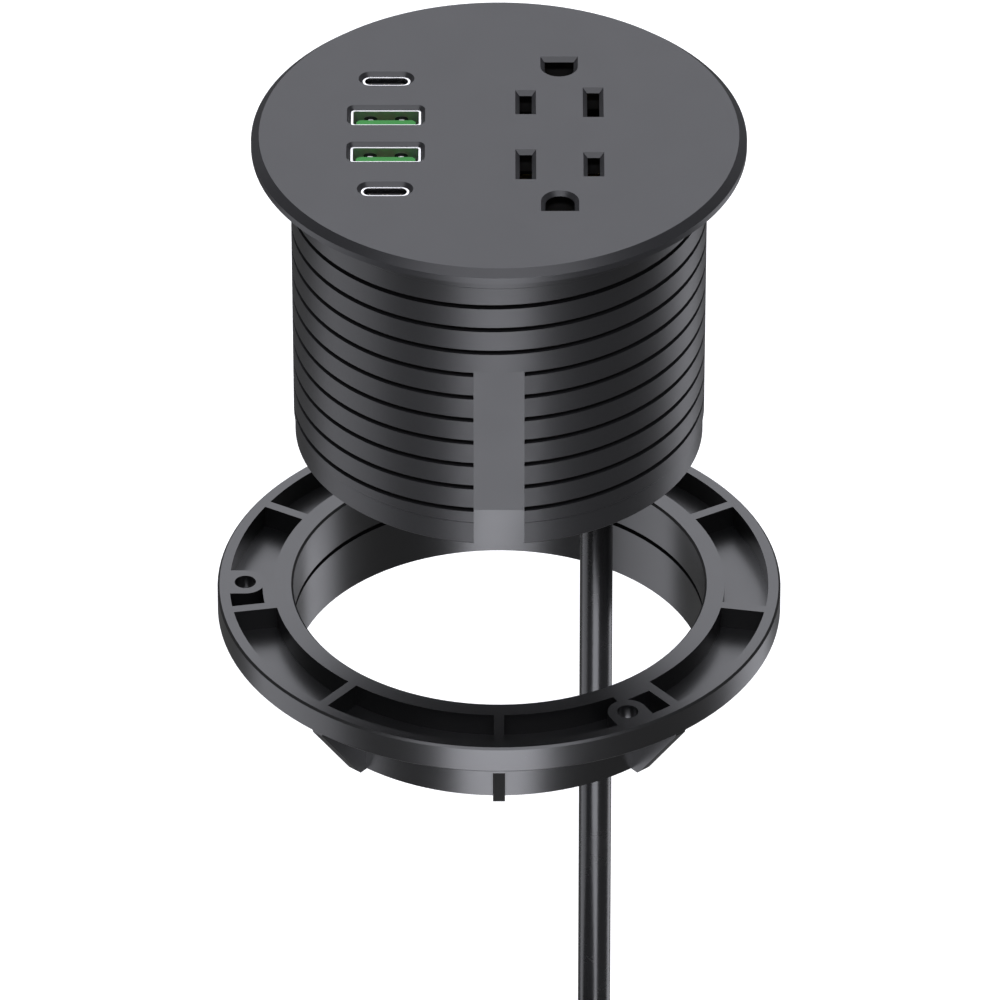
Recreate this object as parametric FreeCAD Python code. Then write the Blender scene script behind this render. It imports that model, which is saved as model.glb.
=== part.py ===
import FreeCAD, Part
import os
from math import acos, atan2, cos, degrees, pi, radians, sin, tan

# Round in-desk power grommet: a flanged barrel with two outlets and four charging ports, its
# threaded clamp ring and its mains lead. Millimetres, +Z up, origin at the centre of the
# flange's underside, which is the plane of the desk top. -Y is the front of the barrel.

V = FreeCAD.Vector
Z_AXIS = V(0, 0, 1)
ORIGIN = V(0, 0, 0)

# face plate
FLANGE_R = 46.5
FLANGE_T = 2.5
FLANGE_EDGE = 1.25
TOP_R = 45.0
SPIGOT_H = 5.0
SPIGOT_WALL = 1.4
SEAT_STEP = 0.3
SEAT_CLEARANCE = 0.15
EAR_SITES = ((-3.0, 22.0), (-3.0, -22.0), (24.4, 17.5), (24.4, -17.5))
EAR_R = 2.6
EAR_DEPTH = 0.6

# barrel
BAND_R = 39.2
BAND_H = 6.0
NECK_R = 38.7
CREST_R = 39.15
CREST_LOW_R = 39.0
SKIRT_R = 38.75
SKIRT_EASE = 0.4
BARREL_IN_R = 36.4
BARREL_H = 64.6
SKIRT_H = 5.2
PITCH = 5.13
GROOVE_W = 1.0
GROOVE_D = 1.1
GROOVE_TOP = -7.65
GROOVE_TURNS = 10
KEY_W = 9.5
KEY_TOP = -24.9
KEY_BOTTOM = -56.5
KEY_FLAT_Y = -38.75

# outlets
OUTLET_X = 11.35
OUTLET_Y = 0.1
BLADE_GAP = 12.7
BLADE_Y = 10.5
GROUND_Y = 22.7
SLOT_W = 2.3
SHORT_SLOT = 6.6
LONG_SLOT = 8.5
GROUND_W = 5.5
GROUND_L = 5.3
SLOT_BEVEL = 0.8

# charging ports
PORT_X = -21.2
PORT_PITCH = 12.43
PORT_Y = 0.05
PORT_BEVEL = 0.7
USB_A_W = 13.1
USB_A_H = 5.2
USB_C_W = 8.94
USB_C_H = 3.2
SHELL_T = 0.38
SHELL_TOP = FLANGE_T - PORT_BEVEL
SHELL_FLOOR = 1.2
USB_A_CORNER = 0.7
TONGUE_A_W = 11.1
TONGUE_A_T = 1.65
TONGUE_A_GAP = 0.25
TONGUE_A_TOP = SHELL_TOP - 0.3
TONGUE_A_CHAMFER = 0.6
TONGUE_C_W = 6.7
TONGUE_C_T = 0.7
TONGUE_C_TOP = SHELL_TOP - 0.7
CONTACT_SITES = (-3.5, -1.0, 1.0, 3.5)
CONTACT_W = 1.0
CONTACT_T = 0.3
CONTACT_TOP = TONGUE_A_TOP - 0.9
FIT = 0.1

# stack inside the barrel, by height
CARRIER_BOTTOM = -17.6
CARRIER_X = (1.5, 21.2)
CARRIER_HALF_Y = 26.8
CARRIER_WALL = 1.0
CONTACT_COVER_T = 1.6
STRIP_T = 0.8
LINE_Z = -16.4
NEUTRAL_Z = -13.8
EARTH_Z = -11.2
CLIP_LEAF = 0.6
CLIP_GAP = 1.3
CLIP_TOP = -3.4
TAIL_X = 27.0
WIRE_X = 25.5
PORT_BOARD_TOP = -13.0
BOARD_T = 1.6
MAIN_TOP = -24.4
MAIN_R = 35.2
MAIN_FLAT_X = 22.0
UNDER = MAIN_TOP - BOARD_T
LINK_X = -16.0
LINK_PINS = (-7.5, -4.5, -1.5, 1.5, 4.5, 7.5)
COVER_TOP = -53.2
COVER_T = 2.0
COVER_R = 36.3
POST_R = 3.2
POST_ORBIT = 32.3
POST_ANGLES = (80, 200, 280)
SCREW_R = 1.2
SCREW_HEAD_R = 2.3

# clamp ring, shown unscrewed below the barrel
RING_TOP = -100.8
RING_R = 54.05
RING_BORE_R = 39.5
RIM_H = 5.6
COLLAR_R = 40.9
COLLAR_H = 20.7
POCKET_IN_R = 43.3
POCKET_OUT_R = 51.7
POCKET_FLOOR = 1.0
RING_EASE = 0.4
RIB_T = 1.95
RIB_COUNT = 9
RIB_START = -90
BOSS_ORBIT = 48.7
BOSS_R = 3.8
BOSS_HOLE_R = 2.05
BOSS_ANGLES = (60, 180, 300)
BOSS_TO_RIB = 10
BOSS_BACKING_R = 45.4
GUSSET_T = 2.3
RING_GROOVE_DROP = 9.3
RING_GROOVE_W = 1.0
RING_GROOVE_D = 0.85

# mains lead
CORD_R = 3.15
CORD_D = 2 * CORD_R
CORD_X = 18.65
CORD_TOP = -47.5
HANG_END = -214.0
BEND_RUN = 20.0
TIE_T = 0.8
TIE_W = 12.0
TIE_ANGLE = 60
COIL_OUTER = 44.1
COIL_COLUMNS = 4
RELIEF_BORE = CORD_R + 0.05
RELIEF_TIP = -80.0
RELIEF_STEPS = 5
WIRE_R = 1.0
WIRE_ORBIT = 1.6
PLUG_H = 23.0
PLUG_W = 26.0
PLUG_L = 36.0
PLUG_ANGLE = -128.0
PLUG_ORBIT = 35.0
BLADE_L = 17.0
BLADE_T = 1.5
PIN_R = 2.4
PIN_L = 18.5
PIN_UP = 8.15


def box(x0, x1, y0, y1, z0, z1):
    return Part.makeBox(x1 - x0, y1 - y0, z1 - z0, V(x0, y0, z0))


def rod(x, y, z0, z1, radius):
    return Part.makeCylinder(radius, z1 - z0, V(x, y, z0))


def tube(z0, z1, inner, outer):
    return rod(0, 0, z0, z1, outer).cut(rod(0, 0, z0 - 1, z1 + 1, inner))


def turned(profile, centre=ORIGIN):
    """A solid of revolution about Z from (radius, z) points."""
    points = [V(r, 0, z) for r, z in profile]
    face = Part.Face(Part.makePolygon(points + points[:1]))
    solid = face.revolve(ORIGIN, Z_AXIS, 360)
    solid.translate(centre)
    return solid


def spun(shape, angle):
    copy = shape.copy()
    copy.rotate(ORIGIN, Z_AXIS, angle)
    return copy


def polar(radius, angle, z=0.0):
    return V(radius * cos(radians(angle)), radius * sin(radians(angle)), z)


def fused(shapes):
    """One solid from several that touch, or a compound of those that stay apart."""
    result = shapes[0].multiFuse(shapes[1:]) if len(shapes) > 1 else shapes[0]
    return result.removeSplitter()


def rect_wire(w, h, z, corner=0.0):
    x, y = w / 2, h / 2
    if corner <= 0:
        points = [V(-x, -y, z), V(x, -y, z), V(x, y, z), V(-x, y, z)]
        return Part.makePolygon(points + points[:1])
    edges = []
    for i, (cx, cy) in enumerate(((1, 1), (-1, 1), (-1, -1), (1, -1))):
        centre = V(cx * (x - corner), cy * (y - corner), z)
        a, m, b = (centre + polar(corner, 90 * i + t) for t in (0, 45, 90))
        edges.append((Part.Arc(a, m, b).toShape(), a, b))
    wire = []
    for i, (arc, _, end) in enumerate(edges):
        wire.append(arc)
        start = edges[(i + 1) % 4][1]
        if (start - end).Length > 1e-6:
            wire.append(Part.LineSegment(end, start).toShape())
    return Part.Wire(wire)


def d_wire(w, h, z):
    """A hole outline with a flat end towards +Y and a round end towards -Y."""
    r = w / 2
    base = -h / 2 + r
    a, b = V(-r, h / 2, z), V(r, h / 2, z)
    c, d = V(r, base, z), V(-r, base, z)
    round_end = Part.Arc(c, V(0, base - r, z), d).toShape()
    lines = [Part.LineSegment(p, q).toShape() for p, q in ((a, b), (b, c))]
    return Part.Wire([lines[0], lines[1], round_end, Part.LineSegment(d, a).toShape()])


def prism(wire, height):
    return Part.Face(wire).extrude(V(0, 0, height))


def lead_in(outline, bevel, depth):
    """A cutter: a bevelled mouth at the face and a straight hole of the given depth."""
    mouth = Part.makeLoft([outline(0.0, FLANGE_T - bevel), outline(bevel, FLANGE_T)], True)
    lip = prism(outline(bevel, FLANGE_T), 1.0)
    shaft = prism(outline(0.0, FLANGE_T - bevel), bevel - depth)
    return fused([mouth, lip, shaft])


def slot_outline(length, w=SLOT_W):
    return lambda grow, z: rect_wire(w + 2 * grow, length + 2 * grow, z)


def ground_outline():
    return lambda grow, z: d_wire(GROUND_W + 2 * grow, GROUND_L + 2 * grow, z)


def outlet_sites():
    """(outline, x, y, turned by 180 degrees) for every opening of the two outlets."""
    half = BLADE_GAP / 2
    for side in (1, -1):
        yield slot_outline(SHORT_SLOT), OUTLET_X - side * half, OUTLET_Y + side * BLADE_Y, side < 0
        yield slot_outline(LONG_SLOT), OUTLET_X + side * half, OUTLET_Y + side * BLADE_Y, side < 0
        yield ground_outline(), OUTLET_X, OUTLET_Y + side * GROUND_Y, side < 0


def port_sites():
    """(kind, y) of the four charging ports, from the back to the front."""
    for i, kind in enumerate(("c", "a", "a", "c")):
        yield kind, PORT_Y + PORT_PITCH * (1.5 - i)


def usb_wire(kind, grow, z):
    if kind == "a":
        corner = USB_A_CORNER + max(grow, -0.3)
        return rect_wire(USB_A_W + 2 * grow, USB_A_H + 2 * grow, z, corner)
    corner = (USB_C_H + 2 * grow) / 2 - 0.001
    return rect_wire(USB_C_W + 2 * grow, USB_C_H + 2 * grow, z, corner)


def face_plate():
    seat_r = BAND_R + SEAT_CLEARANCE
    plate = turned([
        (0, SEAT_STEP), (seat_r, SEAT_STEP), (seat_r, 0), (FLANGE_R, 0),
        (FLANGE_R, FLANGE_EDGE), (TOP_R, FLANGE_T), (0, FLANGE_T)])
    spigot_r = BARREL_IN_R - FIT
    root = SEAT_STEP + 0.2
    pieces = [plate, tube(-SPIGOT_H, root, spigot_r - SPIGOT_WALL, spigot_r)]
    pieces += [rod(x, y, -SPIGOT_H, root, EAR_R) for x, y in EAR_SITES]
    plate = fused(pieces)
    for outline, x, y, flipped in outlet_sites():
        cutter = lead_in(outline, SLOT_BEVEL, FLANGE_T + 1)
        cutter = spun(cutter, 180) if flipped else cutter
        cutter.translate(V(x, y, 0))
        plate = plate.cut(cutter)
    for kind, y in port_sites():
        cutter = lead_in(lambda g, z, k=kind: usb_wire(k, g + FIT, z), PORT_BEVEL, FLANGE_T + 1)
        cutter.translate(V(PORT_X, y, 0))
        plate = plate.cut(cutter)
    for x, y in EAR_SITES:
        plate = plate.cut(rod(x, y, -SPIGOT_H - 1, -EAR_DEPTH, SCREW_R))
    return plate


def helical_groove():
    """The cutter of the thread: a square section swept down a right-hand helix."""
    height = PITCH * GROOVE_TURNS
    helix = Part.makeHelix(PITCH, height, CREST_R)
    reach = 1.0
    x0, x1 = CREST_R - GROOVE_D, CREST_R + reach
    z0, z1 = -GROOVE_W / 2, GROOVE_W / 2
    corners = [V(x0, 0, z0), V(x1, 0, z0), V(x1, 0, z1), V(x0, 0, z1)]
    section = Part.makePolygon(corners + corners[:1])
    groove = Part.Wire(helix).makePipeShell([section], True, True)
    groove.translate(V(0, 0, GROOVE_TOP - height))
    return spun(groove, 90)


def barrel():
    skirt_top = SKIRT_H - BARREL_H
    body = turned([
        (BARREL_IN_R, SEAT_STEP), (NECK_R, SEAT_STEP), (NECK_R, 0), (BAND_R, 0), (BAND_R, -BAND_H),
        (CREST_R, -BAND_H - 0.1), (CREST_LOW_R, skirt_top), (SKIRT_R, skirt_top - 0.3),
        (SKIRT_R, SKIRT_EASE - BARREL_H), (SKIRT_R - SKIRT_EASE, -BARREL_H),
        (BARREL_IN_R, -BARREL_H)])
    body = body.cut(helical_groove())
    half = KEY_W / 2
    key = box(-half, half, KEY_FLAT_Y, -BARREL_IN_R - 0.2, KEY_BOTTOM, KEY_TOP)
    body = body.fuse(key)
    body = body.cut(box(-half, half, -CREST_R - 2, KEY_FLAT_Y, KEY_BOTTOM, KEY_TOP))
    body = body.cut(box(-half, half, -CREST_R - 2, -BARREL_IN_R + 4, -BARREL_H - 1, KEY_BOTTOM))
    posts = []
    for angle in POST_ANGLES:
        post = fused([
            rod(POST_ORBIT, 0, COVER_TOP, MAIN_TOP - BOARD_T, POST_R),
            box(POST_ORBIT, BARREL_IN_R + 0.5, -2, 2, COVER_TOP, MAIN_TOP - BOARD_T)])
        post = post.cut(rod(POST_ORBIT, 0, COVER_TOP - 1, MAIN_TOP, SCREW_R))
        posts.append(spun(post, angle))
    return fused([body] + posts)


def bottom_cover():
    low = COVER_TOP - COVER_T
    cover = rod(0, 0, low, COVER_TOP, COVER_R)
    cover = cover.fuse(tube(low - 1.2, low, COVER_R - 1.6, COVER_R))
    for x in clamp_screw_x():
        cover = cover.fuse(rod(x, 0, COVER_TOP, COVER_TOP + 1.6, 2.2))
        cover = cover.cut(rod(x, 0, low + 0.5, COVER_TOP + 2, SCREW_R))
    for angle in POST_ANGLES:
        at = polar(POST_ORBIT, angle)
        cover = cover.cut(rod(at.x, at.y, low - 1, COVER_TOP + 1, SCREW_R + FIT))
        cover = cover.cut(rod(at.x, at.y, low - 2, low + 0.8, SCREW_HEAD_R + 0.2))
    return cover.cut(rod(CORD_X, 0, low - 2, COVER_TOP + 1, 4.9)).removeSplitter()


def screw(x, y, seat, tip, head=1.3, head_r=SCREW_HEAD_R):
    """A cross-head screw whose head stands off its seat, away from the tip."""
    up = 1 if seat > tip else -1
    low, high = sorted((tip, seat))
    shank = rod(x, y, low, high, SCREW_R - 0.05)
    base, top = sorted((seat, seat + up * head))
    cap = rod(x, y, base, top, head_r)
    z0, z1 = sorted((seat + up * head * 0.4, seat + up * (head + 1)))
    for dx, dy in ((1.4, 0.3), (0.3, 1.4)):
        cap = cap.cut(box(x - dx, x + dx, y - dy, y + dy, z0, z1))
    return shank.fuse(cap).removeSplitter()


def cover_screws():
    seat = COVER_TOP - COVER_T + 0.8
    at = [polar(POST_ORBIT, a) for a in POST_ANGLES]
    return Part.makeCompound([screw(p.x, p.y, seat, COVER_TOP + 8) for p in at])


def board_screws():
    at = [polar(POST_ORBIT, a) for a in POST_ANGLES]
    return Part.makeCompound([screw(p.x, p.y, MAIN_TOP, MAIN_TOP - 8) for p in at])


def face_screws():
    seat = -SPIGOT_H - 2.0
    return Part.makeCompound([screw(x, y, seat, -EAR_DEPTH - 0.4) for x, y in EAR_SITES])


def outlet_carrier():
    x0, x1 = CARRIER_X
    y1 = CARRIER_HALF_Y
    wall = CARRIER_WALL
    block = box(x0, x1, -y1, y1, CARRIER_BOTTOM, SEAT_STEP)
    block = block.cut(box(x0 + wall, x1 - wall, -y1 + wall, y1 - wall, CARRIER_BOTTOM - 1, -2.0))
    for x, y in EAR_SITES:
        inner = min(max(x, x0 + 0.2), x1 - 0.2)
        ear = box(min(x, inner) - 2.4 * (x < inner), max(x, inner) + 2.4 * (x > inner),
                  y - 2.4, y + 2.4, -SPIGOT_H - 2, -SPIGOT_H)
        block = block.fuse(ear).cut(rod(x, y, -SPIGOT_H - 3, -SPIGOT_H + 1, SCREW_R + FIT))
    for outline, x, y, flipped in outlet_sites():
        hole = prism(outline(0.15, -4), 5)
        hole = spun(hole, 180) if flipped else hole
        hole.translate(V(x, y, 0))
        block = block.cut(hole)
    for y, top in ((-BLADE_Y, LINE_Z), (BLADE_Y, NEUTRAL_Z), (0, EARTH_Z)):
        y += OUTLET_Y
        block = block.cut(box(x1 - wall - 1, x1 + 1, y - 1.8, y + 1.8, CARRIER_BOTTOM - 1, top + 1.0))
    return block.removeSplitter()


def blade_clip(x, y, z, width):
    """A pair of spring leaves that a plug's blade slides between."""
    leaf, gap, top = CLIP_LEAF, CLIP_GAP, CLIP_TOP
    parts = [box(x - gap - leaf, x + gap + leaf, y - width / 2, y + width / 2, z, z + STRIP_T)]
    for side in (-1, 1):
        inner, outer = sorted((x + side * gap, x + side * (gap + leaf)))
        parts.append(box(inner, outer, y - width / 2, y + width / 2, z, top))
        lip0, lip1 = sorted((x + side * 0.7, x + side * gap))
        parts.append(box(lip0, lip1, y - width / 2, y + width / 2, -7.6, -6.6))
    return fused(parts)


def diagonal_strip(a, b, z, width=3.0):
    length = (b - a).Length
    strip = box(0, length, -width / 2, width / 2, z, z + STRIP_T)
    strip.rotate(ORIGIN, Z_AXIS, degrees(atan2(b.y - a.y, b.x - a.x)))
    strip.translate(V(a.x, a.y, 0))
    return strip


def blade_bus(side, z, width):
    """Two clips at opposite corners, their strip, and the tail that takes the wire."""
    half = BLADE_GAP / 2
    far = V(OUTLET_X + half, OUTLET_Y + side * BLADE_Y, 0)
    near = V(OUTLET_X - half, OUTLET_Y - side * BLADE_Y, 0)
    tail = box(far.x, TAIL_X, far.y - 1.5, far.y + 1.5, z, z + STRIP_T)
    clips = [blade_clip(p.x, p.y, z, width) for p in (near, far)]
    return fused(clips + [diagonal_strip(near, far, z), tail])


def line_bus():
    return blade_bus(-1, LINE_Z, 5.6)


def neutral_bus():
    return blade_bus(1, NEUTRAL_Z, 7.2)


def earth_bus():
    x, y0, z1 = OUTLET_X, OUTLET_Y, EARTH_Z + STRIP_T
    parts = [
        box(x - 1.5, x + 1.5, y0 - GROUND_Y, y0 + GROUND_Y, EARTH_Z, z1),
        box(x, TAIL_X, y0 - 1.5, y0 + 1.5, EARTH_Z, z1)]
    sleeves = []
    for side in (-1, 1):
        y = y0 + side * GROUND_Y
        parts.append(rod(x, y, EARTH_Z, CLIP_TOP, 2.95))
        sleeves.append(rod(x, y, z1, CLIP_TOP + 1, 2.4))
        sleeves.append(box(x - 0.4, x + 0.4, y - 4, y + 4, EARTH_Z + 2, CLIP_TOP + 1))
    return fused(parts).cut(fused(sleeves)).removeSplitter()


def contact_cover():
    x0, x1 = CARRIER_X
    low = CARRIER_BOTTOM - CONTACT_COVER_T
    plate = box(x0, x1, -CARRIER_HALF_Y, CARRIER_HALF_Y, low, CARRIER_BOTTOM)
    for y in (-1, 1):
        for x in (x0 + 5, x1 - 5):
            plate = plate.cut(rod(x, y * 20, low - 1, CARRIER_BOTTOM + 1, 1.2))
    return plate


def usb_shell(kind, y):
    length = SHELL_TOP - PORT_BOARD_TOP
    outer = prism(usb_wire(kind, 0, PORT_BOARD_TOP), length)
    inner = prism(usb_wire(kind, -SHELL_T, PORT_BOARD_TOP + SHELL_FLOOR), length)
    shell = outer.cut(inner)
    shell.translate(V(PORT_X, y, 0))
    return shell


def tongue_a():
    """The wide tongue near the front wall of a USB-A shell, with its free corners chamfered."""
    floor = PORT_BOARD_TOP + SHELL_FLOOR
    low = tongue_a_low()
    half, high, cut = TONGUE_A_W / 2, low + TONGUE_A_T, TONGUE_A_CHAMFER
    outline = [V(-half, low, floor), V(half, low, floor), V(half, high - cut, floor),
               V(half - cut, high, floor), V(cut - half, high, floor), V(-half, high - cut, floor)]
    tongue = prism(Part.makePolygon(outline + outline[:1]), TONGUE_A_TOP - floor)
    return tongue.fuse(box(-half - 0.4, half + 0.4, low - 0.1, -low, floor, floor + 2.0))


def tongue_a_low():
    return SHELL_T + TONGUE_A_GAP - USB_A_H / 2


def tongue_c():
    """The thin tongue in the middle of a USB-C shell, on its block."""
    floor = PORT_BOARD_TOP + SHELL_FLOOR
    half, t = TONGUE_C_W / 2, TONGUE_C_T / 2
    tongue = box(-half, half, -t, t, floor, TONGUE_C_TOP)
    return tongue.fuse(box(-half - 0.25, half + 0.25, -1.0, 1.0, floor, floor + 3.0))


def usb_tongue(kind, y):
    tongue = (tongue_a() if kind == "a" else tongue_c()).removeSplitter()
    tongue.translate(V(PORT_X, y, 0))
    return tongue


def usb_a_contacts(y):
    back = tongue_a_low() + TONGUE_A_T
    low, half = PORT_BOARD_TOP + SHELL_FLOOR + 2.0, CONTACT_W / 2
    springs = [box(x - half, x + half, back, back + CONTACT_T, low, CONTACT_TOP) for x in CONTACT_SITES]
    group = Part.makeCompound(springs)
    group.translate(V(PORT_X, y, 0))
    return group


def port_board():
    return box(-28.4, -13.6, -21.0, 21.0, PORT_BOARD_TOP - BOARD_T, PORT_BOARD_TOP)


def board_link():
    low, high, half = MAIN_TOP, PORT_BOARD_TOP - BOARD_T, 0.3
    bar = box(LINK_X - 1.2, LINK_X + 1.2, -9, 9, low, low + 2.4)
    pins = [box(LINK_X - half, LINK_X + half, y - half, y + half, low + 2.0, high) for y in LINK_PINS]
    return fused([bar] + pins)


def main_board():
    board = rod(0, 0, MAIN_TOP - BOARD_T, MAIN_TOP, MAIN_R)
    board = board.cut(box(MAIN_FLAT_X, MAIN_R + 1, -MAIN_R, MAIN_R, MAIN_TOP - 5, MAIN_TOP + 5))
    for angle in POST_ANGLES:
        at = polar(POST_ORBIT, angle)
        board = board.cut(rod(at.x, at.y, MAIN_TOP - 5, MAIN_TOP + 5, SCREW_R + FIT))
    return board


def transformer_core():
    core = box(-22, -2, 5.5, 12.5, UNDER - 19, UNDER - 1)
    for x in (-19.0, -9.4):
        core = core.cut(box(x, x + 4.4, 5, 13, UNDER - 16, UNDER - 4))
    return core


def transformer_winding():
    winding = box(-18.9, -5.1, 1.8, 16.2, UNDER - 15.8, UNDER - 4.2)
    winding = winding.cut(box(-14.7, -9.3, 5.4, 12.6, UNDER - 17, UNDER - 3))
    pins = [rod(x, y, UNDER - 4.2, UNDER, 0.4) for x in (-17, -12, -7) for y in (3.4, 14.6)]
    return fused([winding] + pins)


def smoothing_capacitors():
    cans = []
    for x in (-16.5, -4.5):
        can = rod(x, -9, UNDER - 20, UNDER - 0.0, 5.0)
        can = can.cut(Part.makeTorus(5.2, 0.7, V(x, -9, UNDER - 3)))
        cans.append(can)
    return Part.makeCompound(cans)


def filter_capacitor():
    body = box(-15.5, -0.5, -25.6, -18.6, UNDER - 13, UNDER - 0.5)
    body = body.makeFillet(0.6, [e for e in body.Edges if abs(e.tangentAt(0).z) > 0.9])
    legs = [rod(x, -22.1, UNDER - 1, UNDER, 0.4) for x in (-13, -3)]
    return fused([body] + legs)


def choke():
    ring = Part.makeTorus(5.4, 2.4, V(8, 18, UNDER - 5))
    base = rod(8, 18, UNDER - 3.2, UNDER, 7.4)
    return fused([ring, base])


def rectifier():
    body = box(-15.5, -1.5, 22.0, 25.4, UNDER - 11, UNDER - 2)
    legs = [box(x - 0.4, x + 0.4, 23.3, 24.1, UNDER - 3, UNDER) for x in (-13.5, -10, -6.5, -3)]
    return fused([body] + legs)


def fuse():
    tube_part = Part.makeCylinder(2.5, 18, V(10, -24, UNDER - 3.4), V(0, 1, 0))
    for y in (-21, -12):
        band = Part.makeCylinder(2.7, 4, V(10, y - 2, UNDER - 3.4), V(0, 1, 0))
        tube_part = tube_part.fuse(band).fuse(rod(10, y, UNDER - 3, UNDER, 0.5))
    return tube_part.removeSplitter()


def controller_chips():
    sites = ((-6, -9, 7.0, 5.0), (-3, 11, 5.0, 4.4), (8, -12, 6.0, 6.0), (13, 14, 5.0, 4.0))
    high = MAIN_TOP + 1.5
    chips = [box(x - w / 2, x + w / 2, y - h / 2, y + h / 2, MAIN_TOP, high) for x, y, w, h in sites]
    return Part.makeCompound(chips)


def turn_between(a, b):
    return acos(max(-1.0, min(1.0, a.dot(b) / (a.Length * b.Length))))


def route_wire(points, name):
    """Straight runs joined by tangent arcs, each as large as its two runs allow."""
    edges, at, radii = [], points[0], []
    for i in range(1, len(points) - 1):
        before, after = points[i] - points[i - 1], points[i + 1] - points[i]
        turn = turn_between(before, after)
        reach = 0.45 * min(before.Length, after.Length)
        radii.append(reach / tan(turn / 2))
        start = points[i] - before * (reach / before.Length)
        end = points[i] + after * (reach / after.Length)
        towards = (start + end) * 0.5 - points[i]
        sag = reach / sin(turn / 2) * (1 / cos(turn / 2) - 1) * cos(turn / 2)
        mid = points[i] + towards * (sag / towards.Length)
        edges.append(Part.LineSegment(at, start).toShape())
        edges.append(Part.Arc(start, mid, end).toShape())
        at = end
    edges.append(Part.LineSegment(at, points[-1]).toShape())
    wire = Part.Wire(edges)
    if radii:
        print(name, "length", round(wire.Length, 1), "least radius", round(min(radii), 1))
    return wire


def swept(points, radius, name):
    wire = route_wire(points, name)
    along = points[1] - points[0]
    section = Part.Wire(Part.makeCircle(radius, points[0], along))
    solid = wire.makePipeShell([section], True, False)
    ratio = solid.Volume / (pi * radius * radius * wire.Length)
    print(name, "volume over section times length", round(ratio, 4))
    return solid


def inner_wire(angle, y, z, name):
    at = V(CORD_X, 0, 0) + polar(WIRE_ORBIT, angle)
    points = [V(at.x, at.y, CORD_TOP), V(at.x, at.y, -42.5), V(WIRE_X, y, -35), V(WIRE_X, y, z)]
    return swept(points, WIRE_R, name)


def strain_relief():
    low = COVER_TOP - COVER_T
    profile = [(RELIEF_BORE, COVER_TOP + 1.5), (6.2, COVER_TOP + 1.5), (6.2, COVER_TOP),
               (4.8, COVER_TOP), (4.8, low), (6.0, low), (6.0, low - 2.0)]
    run = (low - 2.0 - RELIEF_TIP) / RELIEF_STEPS
    for i in range(RELIEF_STEPS):
        z = low - 2.0 - run * i
        r = 5.2 - 0.24 * i
        profile += [(r - 0.5, z), (r - 0.5, z - 1.2), (r, z - 1.2), (r - 0.15, z - run)]
    profile.append((RELIEF_BORE, RELIEF_TIP))
    return turned(profile, V(CORD_X, 0, 0))


def clamp_screw_x():
    return (CORD_X - 8.7, CORD_X + 8.7)


def cord_clamp():
    bar = box(CORD_X - 10.6, CORD_X + 10.6, -4, 4, COVER_TOP + 1.6, COVER_TOP + 4.8)
    bar = bar.cut(rod(CORD_X, 0, COVER_TOP, COVER_TOP + 6, RELIEF_BORE))
    for x in clamp_screw_x():
        bar = bar.cut(rod(x, 0, COVER_TOP, COVER_TOP + 6, SCREW_R + FIT))
    return bar


def clamp_screws():
    seat = COVER_TOP + 4.8
    return Part.makeCompound([screw(x, 0, seat, COVER_TOP - 1.2) for x in clamp_screw_x()])


def hang_points():
    """The lead from inside the cover, straight down, then round towards the front."""
    x = CORD_X
    points = [V(x, 0, CORD_TOP), V(x, 0, HANG_END)]
    for turn in (30, 60, 90):
        step = V(0, -sin(radians(turn)), -cos(radians(turn))) * BEND_RUN
        points.append(points[-1] + step)
    return points


LAY_Z = hang_points()[-1].z
COIL_BOTTOM = LAY_Z - CORD_R
COIL_TOP = COIL_BOTTOM + 2 * CORD_D
COIL_AT = V(CORD_X - COIL_OUTER, hang_points()[-1].y, 0)
COIL_IN_R = COIL_OUTER - COIL_COLUMNS * CORD_D + CORD_R
COIL_OUT_R = COIL_OUTER + CORD_R
PLUG_Z = COIL_TOP + PLUG_H / 2


def power_cord():
    return swept(hang_points(), CORD_R, "power_cord")


def cord_coil():
    r0, r1, e = COIL_IN_R, COIL_OUT_R, 1.6
    low, high = COIL_BOTTOM, COIL_TOP
    profile = [(r0, low + e), (r0 + e, low), (r1 - e, low), (r1, low + e),
               (r1, high - e), (r1 - e, high), (r0 + e, high), (r0, high - e)]
    return turned(profile, COIL_AT)


def tail_points():
    """The lead's end: off the top of the coil's outer turn, up onto the coil, to the plug."""
    lift = PLUG_Z - LAY_Z
    sites = ((44.1, -8, CORD_D), (43.6, -34, CORD_D + 1.4), (41.2, -60, CORD_D + 6.6),
             (38.2, -85, lift - 3.0), (35.8, -108, lift))
    points = [COIL_AT + polar(r, a, LAY_Z + up) for r, a, up in sites]
    return points + [plug_point(0)]


def plug_point(along, side=0.0, up=0.0):
    """A point of the plug, from where the lead enters it."""
    heading = polar(1, PLUG_ANGLE - 90)
    across = V(-heading.y, heading.x, 0)
    entry = COIL_AT + polar(PLUG_ORBIT, PLUG_ANGLE, PLUG_Z)
    return entry + heading * along + across * side + V(0, 0, up)


def cord_tail():
    return swept(tail_points(), CORD_R, "cord_tail")


def on_plug(shape):
    """Place a shape made along +X, with the lead's entry at the origin, where the plug lies."""
    copy = shape.copy()
    copy.rotate(ORIGIN, Z_AXIS, PLUG_ANGLE - 90)
    copy.translate(plug_point(0))
    return copy


def plug_section(x, w, h, corner):
    wire = rect_wire(h, w, 0, corner)
    wire.rotate(ORIGIN, V(0, 1, 0), 90)
    wire.translate(V(x, 0, 0))
    return wire


def plug_body():
    shoulder = plug_section(28, PLUG_W, PLUG_H, 5)
    grip = Part.makeLoft([plug_section(10, 15, 14, 5), plug_section(20, 22, 20, 5), shoulder], True)
    face = Part.makeLoft([shoulder, plug_section(PLUG_L, PLUG_W, PLUG_H, 5)], True)
    neck = Part.makeCone(4.4, 5.8, 10.5, V(0, 0, 0), V(1, 0, 0))
    return on_plug(fused([neck, grip, face]))


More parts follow.
